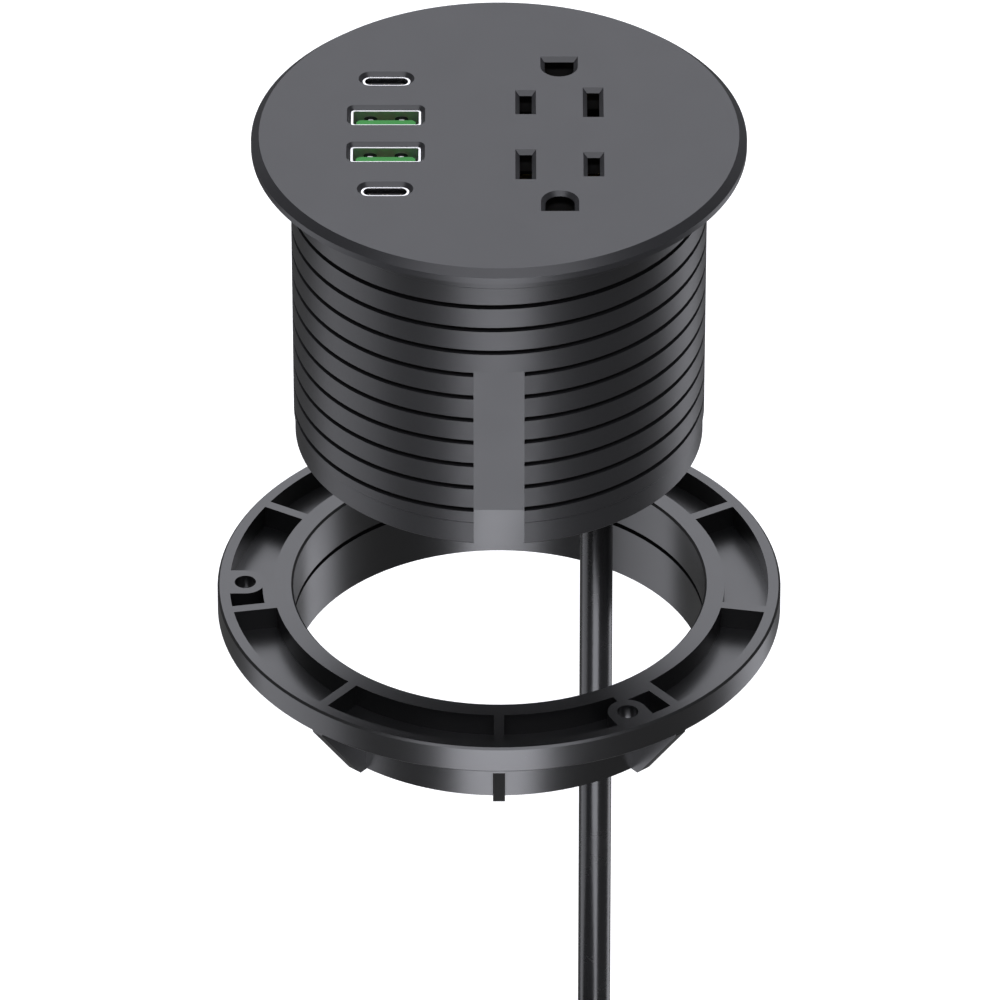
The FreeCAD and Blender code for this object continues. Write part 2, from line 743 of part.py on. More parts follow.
def plug_blades():
    blades = []
    for side in (-1, 1):
        y = side * BLADE_GAP / 2
        blade = box(PLUG_L, PLUG_L + BLADE_L, y - BLADE_T / 2, y + BLADE_T / 2, -6.9, -0.6)
        hole = Part.makeCylinder(1.6, 4, V(PLUG_L + BLADE_L - 4.5, y - 2, -3.75), V(0, 1, 0))
        blades.append(blade.cut(hole))
    return on_plug(Part.makeCompound(blades))


def plug_earth_pin():
    along = V(1, 0, 0)
    pin = Part.makeCylinder(PIN_R, PIN_L, V(PLUG_L, 0, PIN_UP), along)
    tip = Part.makeCone(PIN_R, PIN_R / 2, 2.2, V(PLUG_L + PIN_L, 0, PIN_UP), along)
    return on_plug(pin.fuse(tip).removeSplitter())


def coil_tie():
    r0, r1 = COIL_IN_R - 1.2, COIL_OUT_R + 0.2
    low, high = COIL_BOTTOM, COIL_TOP + 0.1
    half = TIE_W / 2
    band = box(r0 - TIE_T, r1 + TIE_T, -half, half, low - TIE_T, high + TIE_T)
    band = band.cut(box(r0, r1, -half - 1, half + 1, low, high))
    band = spun(band, TIE_ANGLE)
    band.translate(COIL_AT)
    return band


def sector(r0, r1, a0, a1, z0, z1):
    """A piece of a ring between two radii and two angles."""
    angles = (a0, (a0 + a1) / 2, a1)
    inner = [polar(r0, a) for a in angles]
    outer = [polar(r1, a) for a in angles]
    wire = Part.Wire([
        Part.Arc(*inner).toShape(), Part.LineSegment(inner[2], outer[2]).toShape(),
        Part.Arc(*reversed(outer)).toShape(), Part.LineSegment(outer[0], inner[0]).toShape()])
    piece = Part.Face(wire).extrude(V(0, 0, z1 - z0))
    piece.translate(V(0, 0, z0))
    return piece


def ring_shell():
    """The ring's flange and collar, turned, with the run-out groove in its bore."""
    low_rim, low, ease = RING_TOP - RIM_H, RING_TOP - COLLAR_H, RING_EASE
    shell = turned([
        (RING_BORE_R + ease, RING_TOP), (RING_R - ease, RING_TOP), (RING_R, RING_TOP - ease),
        (RING_R, low_rim + ease), (RING_R - ease, low_rim), (COLLAR_R, low_rim),
        (COLLAR_R, low), (RING_BORE_R, low), (RING_BORE_R, RING_TOP - ease)])
    z, half = RING_TOP - RING_GROOVE_DROP, RING_GROOVE_W / 2
    return shell.cut(tube(z - half, z + half, RING_BORE_R - 1, RING_BORE_R + RING_GROOVE_D))


def ring_pockets():
    """The cutter of the pockets in the ring's top, which leaves the ribs and screw bosses."""
    floor = RING_TOP - RIM_H + POCKET_FLOOR
    low, high = floor - 1, RING_TOP + 1
    keep = []
    for angle in BOSS_ANGLES:
        at = polar(BOSS_ORBIT, angle)
        keep.append(rod(at.x, at.y, low, high, BOSS_R))
        keep.append(spun(box(BOSS_ORBIT, POCKET_OUT_R + 1, -BOSS_R, BOSS_R, low, high), angle))
        keep.append(sector(POCKET_IN_R - 1, BOSS_BACKING_R, angle, angle + BOSS_TO_RIB, low, high))
    for angle in rib_angles():
        rib = box(POCKET_IN_R - 2, POCKET_OUT_R + 1, -RIB_T / 2, RIB_T / 2, low, high)
        keep.append(spun(rib, angle))
    return tube(floor, RING_TOP + 0.5, POCKET_IN_R, POCKET_OUT_R).cut(fused(keep))


def rib_angles():
    return [RIB_START + 360 / RIB_COUNT * i for i in range(RIB_COUNT)]


def gusset():
    """One web under the ring's flange, down the collar, on the +X side."""
    low_rim, low = RING_TOP - RIM_H, RING_TOP - COLLAR_H - 0.3
    r0, r1 = COLLAR_R - 0.5, RING_R - 0.5
    outline = [(r0, low_rim + 0.3), (r1, low_rim + 0.3), (r1, low_rim - 0.5),
               (COLLAR_R + 2.3, low + 0.8), (COLLAR_R + 1.5, low), (r0, low)]
    points = [V(r, -GUSSET_T / 2, z) for r, z in outline]
    return Part.Face(Part.makePolygon(points + points[:1])).extrude(V(0, GUSSET_T, 0))


def clamp_ring():
    ring = ring_shell().cut(ring_pockets())
    ring = fused([ring] + [spun(gusset(), angle) for angle in rib_angles()])
    for angle in BOSS_ANGLES:
        at = polar(BOSS_ORBIT, angle)
        ring = ring.cut(rod(at.x, at.y, RING_TOP - RIM_H - 1, RING_TOP + 1, BOSS_HOLE_R))
    return ring


def build():
    """Every sub-part by its node name."""
    parts = {
        "face_plate": face_plate(), "barrel": barrel(), "bottom_cover": bottom_cover(),
        "clamp_ring": clamp_ring(), "outlet_carrier": outlet_carrier(), "contact_cover": contact_cover(),
        "line_bus": line_bus(), "neutral_bus": neutral_bus(), "earth_bus": earth_bus(),
        "port_board": port_board(), "board_link": board_link(), "main_board": main_board(),
        "transformer_core": transformer_core(), "transformer_winding": transformer_winding(),
        "smoothing_capacitors": smoothing_capacitors(), "filter_capacitor": filter_capacitor(),
        "choke": choke(), "rectifier": rectifier(), "fuse": fuse(), "controller_chips": controller_chips(),
        "line_wire": inner_wire(-120, OUTLET_Y - BLADE_Y, LINE_Z, "line_wire"),
        "neutral_wire": inner_wire(120, OUTLET_Y + BLADE_Y, NEUTRAL_Z, "neutral_wire"),
        "earth_wire": inner_wire(0, OUTLET_Y, EARTH_Z, "earth_wire"),
        "strain_relief": strain_relief(), "cord_clamp": cord_clamp(), "clamp_screws": clamp_screws(),
        "cover_screws": cover_screws(), "board_screws": board_screws(), "face_screws": face_screws(),
        "power_cord": power_cord(), "cord_coil": cord_coil(), "cord_tail": cord_tail(),
        "coil_tie": coil_tie(), "plug_body": plug_body(), "plug_blades": plug_blades(),
        "plug_earth_pin": plug_earth_pin()}
    for (kind, y), place in zip(port_sites(), ("rear", "rear", "front", "front")):
        parts[f"usb_{kind}_shell_{place}"] = usb_shell(kind, y)
        parts[f"usb_{kind}_tongue_{place}"] = usb_tongue(kind, y)
        if kind == "a":
            parts[f"usb_a_contacts_{place}"] = usb_a_contacts(y)
    return parts


os.makedirs("parts", exist_ok=True)
for node, shape in build().items():
    solids = len(shape.Solids)
    print(node, "solids", solids, "valid", shape.isValid(), "volume", round(shape.Volume, 1))
    shape.exportStep(f"parts/{node}.step")
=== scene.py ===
"""Looks of a round in-desk power grommet: its housing, ports, clamp ring and coiled mains lead.

Metres, +Z up, origin at the centre of the flange's underside, -Y to the front.
"""

import logging
import math
from collections.abc import Callable, Sequence
from dataclasses import dataclass
from enum import Enum

import bmesh
import bpy
from mathutils import Matrix, Vector

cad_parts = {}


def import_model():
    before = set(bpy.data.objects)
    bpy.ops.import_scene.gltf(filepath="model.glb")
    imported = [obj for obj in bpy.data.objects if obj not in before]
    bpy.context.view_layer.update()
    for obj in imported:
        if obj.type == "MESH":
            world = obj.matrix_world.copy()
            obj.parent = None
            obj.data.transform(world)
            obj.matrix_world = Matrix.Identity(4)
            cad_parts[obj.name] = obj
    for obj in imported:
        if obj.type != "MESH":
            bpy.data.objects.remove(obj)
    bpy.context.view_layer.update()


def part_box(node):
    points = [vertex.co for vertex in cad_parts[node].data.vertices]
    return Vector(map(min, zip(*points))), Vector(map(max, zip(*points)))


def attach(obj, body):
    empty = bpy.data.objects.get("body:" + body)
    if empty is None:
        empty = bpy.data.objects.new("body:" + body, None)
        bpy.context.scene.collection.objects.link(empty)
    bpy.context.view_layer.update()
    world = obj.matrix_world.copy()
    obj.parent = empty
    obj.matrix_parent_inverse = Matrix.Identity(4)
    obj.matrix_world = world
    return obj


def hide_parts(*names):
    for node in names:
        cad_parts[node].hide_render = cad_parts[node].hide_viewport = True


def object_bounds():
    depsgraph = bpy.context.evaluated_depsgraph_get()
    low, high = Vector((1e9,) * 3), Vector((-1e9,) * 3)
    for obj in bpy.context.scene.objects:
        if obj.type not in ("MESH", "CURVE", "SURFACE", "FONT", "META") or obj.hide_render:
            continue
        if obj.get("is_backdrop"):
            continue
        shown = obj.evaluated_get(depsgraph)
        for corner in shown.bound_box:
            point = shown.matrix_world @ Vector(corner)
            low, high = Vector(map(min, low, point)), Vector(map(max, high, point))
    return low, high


LOG = logging.getLogger("grommet")
MM = 0.001
HOUSING = "housing"
NOISE_ROUGHNESS = 0.55
WHITE = (1.0, 1.0, 1.0, 1.0)
# Points nearer than this are one point.
WELD = 0.01 * MM
# How far apart a Wave node's bands are at scale 1.
WAVE_PERIOD = 2.0 * math.pi / 20.0
# A Mix node's sockets by number, when it blends colours.
MIX_FACTOR, MIX_LOW, MIX_HIGH, MIX_RESULT = 0, 6, 7, 2

Inputs = dict[str | int, object]
Point = tuple[float, float, float]
Colour = tuple[float, float, float]
Pair = tuple[float, float]
Sites = tuple[Point, ...]


class Field:
    """A shader socket that takes part in arithmetic."""

    def __init__(self, recipe: "Recipe", socket: bpy.types.NodeSocket) -> None:
        """Keep the socket and the recipe that its nodes go in."""
        self.recipe = recipe
        self.socket = socket

    def math(self, operation: str, *others: "Field | float") -> "Field":
        """Run a Math node on this value.

        Args:
            operation: the Math node's operation.
            others: its second and third values.

        Returns:
            The result as a new field.
        """
        values = dict(enumerate((self, *others)))
        node = self.recipe.node("ShaderNodeMath", {"operation": operation}, values)
        return Field(self.recipe, node.outputs[0])

    def __add__(self, other: "Field | float") -> "Field":
        """Add."""
        return self.math("ADD", other)

    def __mul__(self, other: "Field | float") -> "Field":
        """Multiply."""
        return self.math("MULTIPLY", other)

    def __rsub__(self, other: float) -> "Field":
        """Subtract this field from a number."""
        return self.math("MULTIPLY_ADD", -1.0, other)

    __radd__ = __add__
    __rmul__ = __mul__

    def step(self, low: float, high: float) -> "Field":
        """Rise smoothly from 0 at low to 1 at high.

        Args:
            low: where the rise starts.
            high: where it ends.

        Returns:
            The risen value, 0 to 1.
        """
        settings = {"interpolation_type": "SMOOTHSTEP", "clamp": True}
        inputs = {"Value": self, "From Min": low, "From Max": high}
        node = self.recipe.node("ShaderNodeMapRange", settings, inputs)
        return Field(self.recipe, node.outputs["Result"])


class Recipe:
    """A material under construction, with one principled shader."""

    def __init__(self, name: str) -> None:
        """Start an empty material of that name.

        Args:
            name: the material's name.
        """
        self.material = bpy.data.materials.new(name)
        self.material.use_nodes = True
        self.tree = self.material.node_tree
        self.tree.nodes.clear()
        self.shader = self.node("ShaderNodeBsdfPrincipled")
        self.node("ShaderNodeOutputMaterial", inputs={"Surface": self.shader.outputs["BSDF"]})
        self.place = self.node("ShaderNodeTexCoord").outputs["Object"]

    def node(self, kind: str, settings: dict[str, object] | None = None,
             inputs: Inputs | None = None) -> bpy.types.Node:
        """Add a node.

        Args:
            kind: the node's type.
            settings: its own settings, which are set before its sockets.
            inputs: a value, socket or field for each named or numbered input.

        Returns:
            The new node.
        """
        node = self.tree.nodes.new(kind)
        for key, value in (settings or {}).items():
            setattr(node, key, value)
        for key, value in (inputs or {}).items():
            socket = node.inputs[key]
            if isinstance(value, Field):
                self.tree.links.new(value.socket, socket)
            elif isinstance(value, bpy.types.NodeSocket):
                self.tree.links.new(value, socket)
            else:
                socket.default_value = value
        return node

    def axis(self, name: str) -> Field:
        """One coordinate of the place on the piece, in metres: X, Y or Z."""
        node = self.node("ShaderNodeSeparateXYZ", inputs={"Vector": self.place})
        return Field(self, node.outputs[name])

    def stretched(self, scale: Point) -> bpy.types.NodeSocket:
        """The place on the piece, scaled differently along each axis."""
        inputs = {"Vector": self.place, "Scale": scale}
        return self.node("ShaderNodeMapping", {"vector_type": "POINT"}, inputs).outputs["Vector"]

    def noise(self, size: float, detail: float = 2.0,
              place: bpy.types.NodeSocket | None = None) -> Field:
        """Soft noise, 0 to 1, whose features are about size metres across.

        Args:
            size: how far apart the features are, in metres.
            detail: how many finer layers there are.
            place: where to read it; by default, the place on the piece.

        Returns:
            The noise.
        """
        inputs = {"Vector": place or self.place, "Scale": 1.0 / size, "Detail": detail,
                  "Roughness": NOISE_ROUGHNESS}
        node = self.node("ShaderNodeTexNoise", {"noise_dimensions": "3D"}, inputs)
        return Field(self, node.outputs["Fac"])

    def cells(self, size: float) -> Field:
        """Distance to the nearest of scattered points about size metres apart.

        Args:
            size: how far apart the points are, in metres.

        Returns:
            The distance, 0 on a point.
        """
        inputs = {"Vector": self.place, "Scale": 1.0 / size}
        node = self.node("ShaderNodeTexVoronoi", {"feature": "F1"}, inputs)
        return Field(self, node.outputs["Distance"])

    def wave(self, size: float, axis: str) -> Field:
        """Bands across an axis, one every size metres.

        Args:
            size: the width of a band, in metres.
            axis: X, Y or Z.

        Returns:
            The height of the bands, 0 to 1.
        """
        settings = {"wave_type": "BANDS", "bands_direction": axis, "wave_profile": "SIN"}
        inputs = {"Vector": self.place, "Scale": WAVE_PERIOD / size}
        return Field(self, self.node("ShaderNodeTexWave", settings, inputs).outputs["Fac"])

    def mix(self, low: "Colour | bpy.types.NodeSocket", high: "Colour | bpy.types.NodeSocket",
            factor: Field) -> bpy.types.NodeSocket:
        """Blend two colours.

        Args:
            low: the colour where the factor is 0.
            high: the colour where it is 1.
            factor: how far the blend is from low to high.

        Returns:
            The blended colour's socket.
        """
        ends = [(*end, 1.0) if isinstance(end, tuple) else end for end in (low, high)]
        settings = {"data_type": "RGBA", "clamp_factor": True}
        inputs = {MIX_FACTOR: factor, MIX_LOW: ends[0], MIX_HIGH: ends[1]}
        return self.node("ShaderNodeMix", settings, inputs).outputs[MIX_RESULT]

    def surface(self, colour: bpy.types.NodeSocket, roughness: "Field | float", height: Field,
                depth: float, **sockets: float) -> bpy.types.Material:
        """Connect the shader and finish the material.

        Args:
            colour: the base colour's socket.
            roughness: one value, or a field of values.
            height: the relief, 0 to 1.
            depth: how many metres the relief stands from 0 to 1.
            sockets: fixed values of other shader inputs, with _ for a space.

        Returns:
            The finished material.
        """
        relief = {"Strength": 1.0, "Distance": depth, "Height": height}
        bump = self.node("ShaderNodeBump", inputs=relief)
        wanted = {"Base Color": colour, "Roughness": roughness, "Normal": bump.outputs["Normal"]}
        wanted.update({key.replace("_", " "): value for key, value in sockets.items()})
        for key, value in wanted.items():
            socket = self.shader.inputs[key]
            if isinstance(value, (Field, bpy.types.NodeSocket)):
                self.tree.links.new(value.socket if isinstance(value, Field) else value, socket)
            else:
                socket.default_value = value
        return self.material


def shade(colour: Colour, by: float) -> Colour:
    """The same colour, brighter or darker."""
    return tuple(min(1.0, channel * by) for channel in colour)


@dataclass(frozen=True)
class Finish:
    """What a surface is made of. Each kind of finish makes its own material."""

    name: str
    slot: str
    colour: Colour
    roughness: float

    def material(self) -> bpy.types.Material:
        """The finish's material, made once."""
        title = f"{self.name}_finish"
        return bpy.data.materials.get(title) or self.make(Recipe(title))

    def make(self, recipe: Recipe) -> bpy.types.Material:
        """Build the material; each kind of finish says how."""
        raise NotImplementedError

    def dress(self, *nodes: str) -> None:
        """Give this finish to CAD nodes, by name."""
        for name in nodes:
            on_piece(bpy.data.objects[name], self)


@dataclass(frozen=True)
class Moulded(Finish):
    """Injection-moulded plastic with a fine spark-eroded grain."""

    grain: float = 0.35 * MM
    relief: float = 0.006 * MM
    mottle: float = 0.05
    gloss: float = 0.5
    flow: float = 14 * MM
    cloud: float = 9 * MM
    grain_rough: float = 0.06
    cloud_rough: float = 0.05

    def tone(self, recipe: Recipe) -> bpy.types.NodeSocket:
        """The plastic's colour, a little uneven from the flow of the melt."""
        darker, paler = (shade(self.colour, 1 + by) for by in (-self.mottle, self.mottle))
        return recipe.mix(darker, paler, recipe.noise(self.flow, 3.0))

    def make(self, recipe: Recipe) -> bpy.types.Material:
        """Grain in the relief, and a roughness that varies with it.

        Args:
            recipe: the material under construction.

        Returns:
            The finished material.
        """
        grain = recipe.noise(self.grain)
        middle = self.roughness - (self.grain_rough + self.cloud_rough) / 2
        rough = grain * self.grain_rough + recipe.noise(self.cloud) * self.cloud_rough + middle
        return recipe.surface(self.tone(recipe), rough, grain, self.relief,
                              Specular_IOR_Level=self.gloss)


@dataclass(frozen=True)
class FacePlasticWithPaintedSlotShade(Moulded):
    """The face's plastic, with painted shade that turns its slots black below their bevels."""

    # Where the painted slot shade lies: below this height and inside this radius the colour turns
    # black.
    depth: float = 1.68 * MM
    fade: float = 0.06 * MM
    radius: float = 42 * MM
    border: float = 1 * MM

    def tone(self, recipe: Recipe) -> bpy.types.NodeSocket:
        """The plain tone on top, and painted shade: black inside the slots.

        Args:
            recipe: the material under construction.

        Returns:
            The colour's socket.
        """
        # Painted shade: inside the slots, below their bevels, the plastic's colour is mixed to
        # black.
        x, y = recipe.axis("X"), recipe.axis("Y")
        outside = (x * x + y * y).step(self.radius**2, (self.radius + self.border) ** 2)
        above = recipe.axis("Z").step(self.depth - self.fade, self.depth)
        return recipe.mix(super().tone(recipe), (0.0, 0.0, 0.0), (1 - outside) * (1 - above))


@dataclass(frozen=True)
class Plated(Finish):
    """Stamped or turned metal with faint drawing lines along Z."""

    tarnish: float = 0.1
    line: float = 0.12 * MM
    stretch: Point = (1.0, 1.0, 0.05)
    relief: float = 0.001 * MM
    cloud: float = 1.6 * MM
    line_rough: float = 0.08
    cloud_rough: float = 0.06

    def make(self, recipe: Recipe) -> bpy.types.Material:
        """Fine lines in the relief and cloudy tarnish in the colour.

        Args:
            recipe: the material under construction.

        Returns:
            The finished material.
        """
        lines = recipe.noise(self.line, place=recipe.stretched(self.stretch))
        cloud = recipe.noise(self.cloud, 3.0)
        colour = recipe.mix(shade(self.colour, 1 - self.tarnish), self.colour, cloud)
        middle = self.roughness - (self.line_rough + self.cloud_rough) / 2
        rough = lines * self.line_rough + cloud * self.cloud_rough + middle
        return recipe.surface(colour, rough, lines, self.relief, Metallic=1.0)


@dataclass(frozen=True)
class Rubber(Finish):
    """Flexible jacket or grip: satin, with a fine pebble and a dusting of wear."""

    pebble: float = 0.5 * MM
    relief: float = 0.012 * MM
    gloss: float = 0.5
    patch: float = 11 * MM
    patch_edge: Pair = (0.35, 0.8)
    patch_shade: float = 1.3
    patch_rough: float = 0.07
    pebble_rough: float = 0.05

    def make(self, recipe: Recipe) -> bpy.types.Material:
        """Pebbled relief, and a paler bloom in patches.

        Args:
            recipe: the material under construction.

        Returns:
            The finished material.
        """
        pebble = recipe.noise(self.pebble)
        bloom = recipe.noise(self.patch, 4.0).step(*self.patch_edge)
        colour = recipe.mix(self.colour, shade(self.colour, self.patch_shade), bloom)
        smoothest = self.roughness - self.pebble_rough
        rough = bloom * self.patch_rough + pebble * self.pebble_rough + smoothest
        return recipe.surface(colour, rough, pebble, self.relief, Specular_IOR_Level=self.gloss)


@dataclass(frozen=True)
class CircuitBoard(Finish):
    """Solder mask over copper tracks, with a few bright pads."""

    track: float = 2.2 * MM
    track_edge: Pair = (0.42, 0.5)
    track_shade: float = 1.7
    pad: float = 3.4 * MM
    pad_edge: Pair = (0.1, 0.13)
    pad_colour: Colour = (0.55, 0.5, 0.38)
    relief: float = 0.03 * MM

    def make(self, recipe: Recipe) -> bpy.types.Material:
        """Tracks as a slightly raised, paler net under the mask.

        Args:
            recipe: the material under construction.

        Returns:
            The finished material.
        """
        tracks = recipe.cells(self.track).step(*self.track_edge)
        pads = 1 - recipe.cells(self.pad).step(*self.pad_edge)
        mask = recipe.mix(self.colour, shade(self.colour, self.track_shade), tracks)
        colour = recipe.mix(mask, self.pad_colour, pads)
        return recipe.surface(colour, self.roughness, tracks + pads, self.relief)


@dataclass(frozen=True)
class Wound(Finish):
    """Turns of wire or tape laid side by side across an axis."""

    turn: float = 0.6 * MM
    axis: str = "Z"
    metallic: float = 0.0
    gap: Pair = (0.05, 0.6)
    gap_painted_shade: float = 0.35

    def make(self, recipe: Recipe) -> bpy.types.Material:
        """Rounded turns, a third as deep as they are wide, with painted shade darkening the gaps
        between them.

        Args:
            recipe: the material under construction.

        Returns:
            The finished material.
        """
        turns = recipe.wave(self.turn, self.axis)
        # Painted shade: the colour darkens towards the low places between the turns.
        colour = recipe.mix(shade(self.colour, self.gap_painted_shade), self.colour, turns.step(*self.gap))
        return recipe.surface(colour, self.roughness, turns, self.turn / 3,
                              Metallic=self.metallic)


@dataclass(frozen=True)
class Woven(Finish):
    """A hook-and-loop strap: crossed threads with a fuzzy nap."""

    thread: float = 0.7 * MM
    nap: float = 0.25 * MM
    nap_share: float = 0.4
    shades: Pair = (0.6, 1.8)
    relief: float = 0.12 * MM
    sheen: float = 0.3

    def make(self, recipe: Recipe) -> bpy.types.Material:
        """Warp and weft bands, roughened by the nap, with painted shade between the threads and a
        painted highlight on their crossings, mixed with the nap's random tone.

        Args:
            recipe: the material under construction.

        Returns:
            The finished material.
        """
        weave = recipe.wave(self.thread, "X") * recipe.wave(self.thread, "Z")
        nap = recipe.noise(self.nap, 3.0)
        dark, pale = (shade(self.colour, by) for by in self.shades)
        # Painted shade and highlight: darker where the weave is low and paler on its crossings;
        # the nap adds random tone.
        colour = recipe.mix(dark, pale, weave * (1 - self.nap_share) + nap * self.nap_share)
        return recipe.surface(colour, self.roughness, weave + nap, self.relief,
                              Sheen_Weight=self.sheen)


@dataclass(frozen=True)
class Sintered(Finish):
    """Pressed and fired ferrite or ceramic, with open pores."""

    pore: float = 0.6 * MM
    pore_edge: Pair = (0.1, 0.4)
    grain: float = 0.8 * MM
    shades: Pair = (0.7, 1.15)
    relief: float = 0.03 * MM

    def make(self, recipe: Recipe) -> bpy.types.Material:
        """Small pits in the relief and a grainy tone.

        Args:
            recipe: the material under construction.

        Returns:
            The finished material.
        """
        pores = recipe.cells(self.pore).step(*self.pore_edge)
        dark, pale = (shade(self.colour, by) for by in self.shades)
        colour = recipe.mix(dark, pale, recipe.noise(self.grain, 4.0))
        return recipe.surface(colour, self.roughness, pores, self.relief)


class Finishes(Enum):
    """Every finish of the grommet."""

    FACE = FacePlasticWithPaintedSlotShade("face_plastic_painted_slot_shade", "face", (0.019, 0.019, 0.021), 0.38)
    SHELL = Moulded("housing_plastic", "housing", (0.017, 0.017, 0.018), 0.39)
    CLAMP = Moulded("ring_plastic", "ring", (0.009, 0.009, 0.0095), 0.3,
                    relief=0.0025 * MM, gloss=0.8)
    INSULATOR = Moulded("insulator", "inner_plastic", (0.008, 0.008, 0.008), 0.6)
    CHIP = Moulded("chip_package", "chip", (0.02, 0.02, 0.02), 0.55, grain=0.15 * MM)
    BLACK_TONGUE = Moulded("black_tongue", "black_tongue", (0.01, 0.01, 0.011), 0.4)
    GREEN_TONGUE = Moulded("green_tongue", "green_tongue", (0.02, 0.25, 0.03), 0.4,
                           grain=0.2 * MM, gloss=0.2)
    BOX_CAPACITOR = Moulded("capacitor_box", "capacitor_box", (0.6, 0.43, 0.05), 0.35)
    CAN = Moulded("can_sleeve", "can_sleeve", (0.02, 0.025, 0.06), 0.3)
    WIRE_BLACK = Rubber("wire_black", "wire_line", (0.012, 0.012, 0.012), 0.4)
    WIRE_WHITE = Rubber("wire_white", "wire_neutral", (0.7, 0.7, 0.68), 0.4)
    WIRE_GREEN = Rubber("wire_green", "wire_earth", (0.03, 0.3, 0.06), 0.4)
    JACKET = Rubber("cord_jacket", "cord_jacket", (0.016, 0.016, 0.017), 0.27)
    GRIP = Rubber("plug_rubber", "plug_rubber", (0.02, 0.02, 0.021), 0.4,
                  pebble=0.7 * MM, relief=0.03 * MM)
    STRAP = Woven("strap", "tie_fabric", (0.02, 0.02, 0.021), 0.9)
    SHELL_STEEL = Plated("wide_port_shell", "usb_shell", (0.86, 0.86, 0.86), 0.4)
    SHELL_BRIGHT = Plated("small_port_shell", "usb_shell", (0.86, 0.86, 0.86), 0.2)
    PAD = Plated("contact_pad", "gold_contact", (0.4, 0.37, 0.3), 0.4)
    GOLD = Plated("gold_contact", "gold_contact", (0.9, 0.68, 0.32), 0.25)
    BRASS = Plated("brass_strip", "brass", (0.72, 0.52, 0.24), 0.32, tarnish=0.3)
    NICKEL = Plated("plug_metal", "plug_metal", (0.74, 0.71, 0.66), 0.28, tarnish=0.2)
    ZINC = Plated("screw_steel", "screw_steel", (0.62, 0.63, 0.65), 0.34, tarnish=0.25)
    BOARD = CircuitBoard("solder_mask", "circuit_board", (0.006, 0.075, 0.03), 0.3)
    TAPE = Wound("winding_tape", "yellow_tape", (0.75, 0.5, 0.04), 0.35, turn=3.9 * MM)
    COPPER = Wound("copper_winding", "copper_winding", (0.7, 0.3, 0.12), 0.3,
                   turn=1.1 * MM, axis="X", metallic=0.8)
    FERRITE = Sintered("ferrite", "ferrite", (0.045, 0.045, 0.045), 0.6)
    CERAMIC = Sintered("fuse_tube", "glass_tube", (0.72, 0.71, 0.67), 0.35)


def on_piece(piece: bpy.types.Object, finish: Finish) -> bpy.types.Object:
    """Give a piece its finish.

    Args:
        piece: a new piece or a CAD node.
        finish: what it is made of.

    Returns:
        The piece.
    """
    piece.data.materials.clear()
    piece.data.materials.append(finish.material())
    return piece


